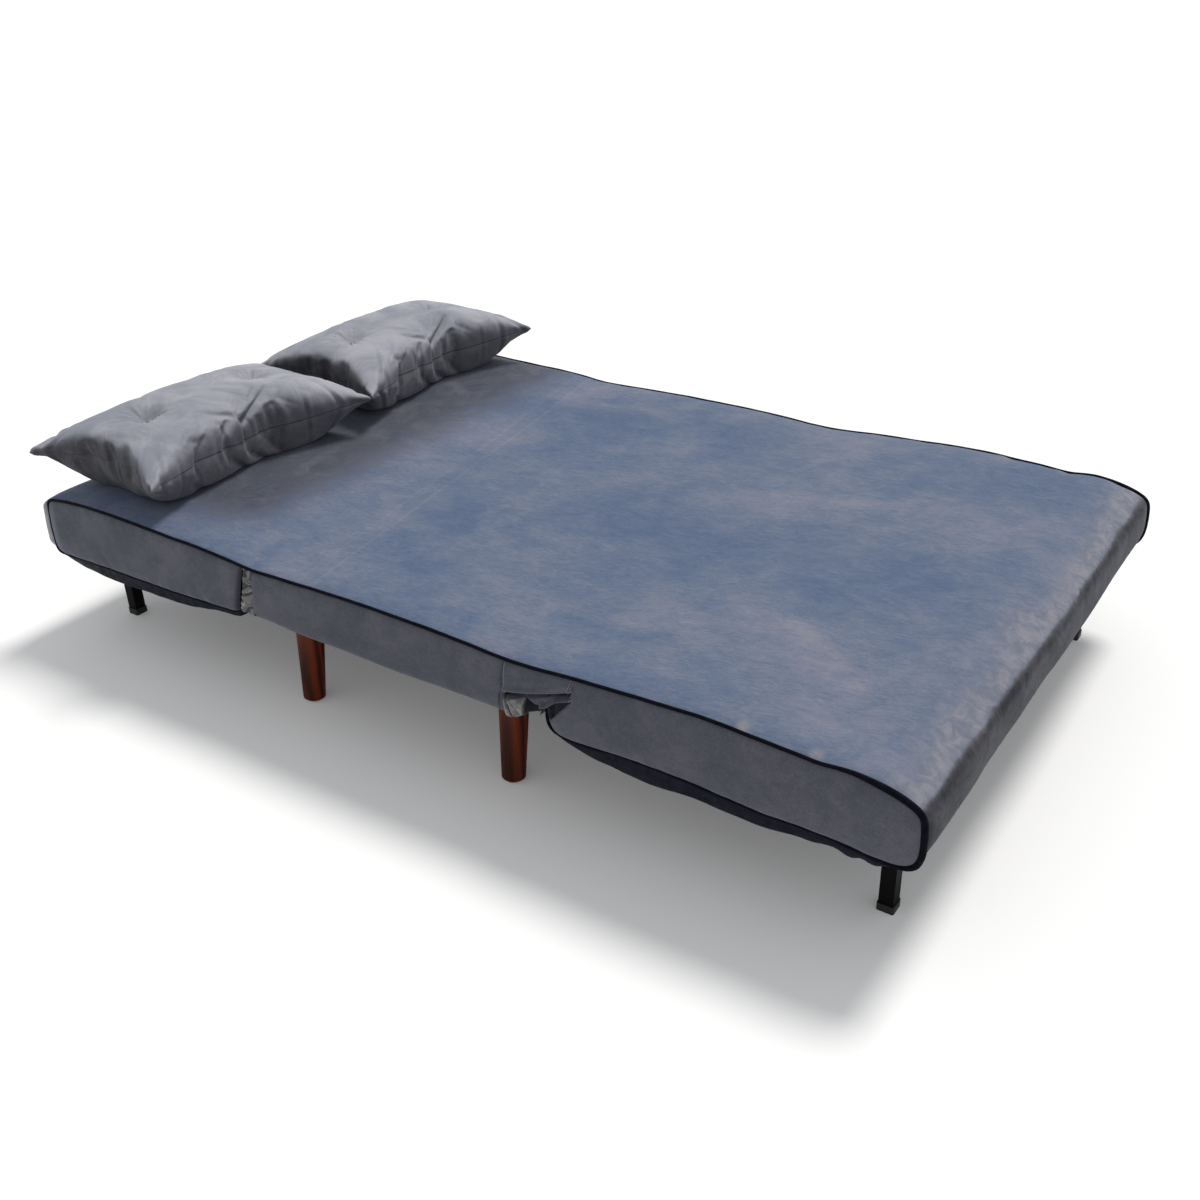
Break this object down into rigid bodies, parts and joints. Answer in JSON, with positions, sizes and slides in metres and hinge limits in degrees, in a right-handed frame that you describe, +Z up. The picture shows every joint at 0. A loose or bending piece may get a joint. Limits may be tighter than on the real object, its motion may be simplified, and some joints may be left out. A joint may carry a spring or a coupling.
{
  "type": "futon sofa bed",
  "caption": "Padded folding sofa bed laid flat: reclining head section, seat on splayed wooden legs, fold-over foot section on folding steel legs, loose tufted pillows.",
  "frame": {"origin": "on the floor under the middle of the bounding box, which includes the pillows' overhang past the head end", "axes": "+X across the bed, +Y towards the head end, +Z up"},
  "size_m": [1.2, 1.96, 0.4753],
  "materials": {
    "velvet": "crushed velvet, blue-grey",
    "pillow_velvet": "crushed velvet, light warm grey",
    "piping": "near-black navy piping",
    "base_cloth": "dark cloth",
    "gusset_cloth": "pleated velvet",
    "foam": "polyurethane foam",
    "bent_wood": "clear lacquered beech",
    "leg_wood": "red-brown stained, satin",
    "glide": "matt",
    "black_plastic": "matt",
    "black_steel": "powder-coated, satin",
    "hinge_steel": "powder-coated",
    "zinc": "zinc plated"
  },
  "bodies": {
    "seat": {"seat_side_rails": "black_steel", "seat_rear_rail": "black_steel", "seat_front_rail": "black_steel", "seat_leg_bar": "black_steel", "seat_slats": "bent_wood", "seat_slat_holders": "black_plastic", "seat_foam": "foam", "seat_cover": "velvet", "seat_dust_cover": "base_cloth", "seat_piping": "piping", "leg_rear_left": "leg_wood", "leg_rear_right": "leg_wood", "leg_front_left": "leg_wood", "leg_front_right": "leg_wood", "leg_plates": "black_steel", "leg_bolts": "zinc", "leg_glides": "glide", "recline_fixed_plates": "hinge_steel", "recline_pins": "zinc", "pawl_pins": "zinc", "recline_gussets": "gusset_cloth", "fold_seat_lugs": "hinge_steel", "fold_pins": "zinc", "fold_gussets": "gusset_cloth"},
    "back": {"back_side_rails": "black_steel", "back_hinge_rail": "black_steel", "back_end_rail": "black_steel", "back_slats": "bent_wood", "back_slat_holders": "black_plastic", "back_foam": "foam", "back_cover": "velvet", "back_underside": "base_cloth", "back_piping": "piping", "recline_moving_plates": "hinge_steel", "head_leg_bolts": "zinc"},
    "foot": {"foot_side_rails": "black_steel", "foot_hinge_rail": "black_steel", "foot_end_rail": "black_steel", "foot_slats": "bent_wood", "foot_slat_holders": "black_plastic", "foot_foam": "foam", "foot_cover": "velvet", "foot_underside": "base_cloth", "foot_piping": "piping", "fold_foot_lugs": "hinge_steel", "foot_leg_bolts": "zinc"},
    "pawl_left": {"pawl_left": "hinge_steel"},
    "pawl_right": {"pawl_right": "hinge_steel"},
    "head_leg": {"head_leg_axle": "black_steel", "head_leg_posts": "black_steel", "head_leg_caps": "black_plastic"},
    "foot_leg": {"foot_leg_axle": "black_steel", "foot_leg_posts": "black_steel", "foot_leg_caps": "black_plastic"},
    "pillow_left": {"pillow_left": "pillow_velvet", "pillow_left_buttons": "pillow_velvet"},
    "pillow_right": {"pillow_right": "pillow_velvet", "pillow_right_buttons": "pillow_velvet"}
  },
  "joints": [
    {"name": "backrest_recline", "type": "hinge", "parent": "seat", "child": "back", "pos_m": [0, 0.337, 0.296], "axis": [1, 0, 0], "range_deg": [0, 70], "deforming": ["recline_gussets"]},
    {"name": "foot_fold", "type": "hinge", "parent": "seat", "child": "foot", "pos_m": [0, -0.337, 0.296], "axis": [-1, 0, 0], "range_deg": [0, 180], "deforming": ["fold_gussets"]},
    {"name": "head_leg_fold", "type": "hinge", "parent": "back", "child": "head_leg", "pos_m": [0, 0.888, 0.217], "axis": [-1, 0, 0], "range_deg": [0, 90]},
    {"name": "foot_leg_fold", "type": "hinge", "parent": "foot", "child": "foot_leg", "pos_m": [0, -0.906, 0.217], "axis": [1, 0, 0], "range_deg": [0, 90]},
    {"name": "pawl_left_swing", "type": "hinge", "parent": "seat", "child": "pawl_left", "pos_m": [0, 0.303, 0.246], "axis": [1, 0, 0], "range_deg": [0, 16]},
    {"name": "pawl_right_swing", "type": "hinge", "parent": "seat", "child": "pawl_right", "pos_m": [0, 0.303, 0.246], "axis": [1, 0, 0], "range_deg": [0, 16]},
    {"name": "pillow_left_lift", "type": "slide", "parent": "back", "child": "pillow_left", "axis": [0, 0, 1], "range_m": [0, 0.25]},
    {"name": "pillow_right_lift", "type": "slide", "parent": "back", "child": "pillow_right", "axis": [0, 0, 1], "range_m": [0, 0.25]}
  ]
}
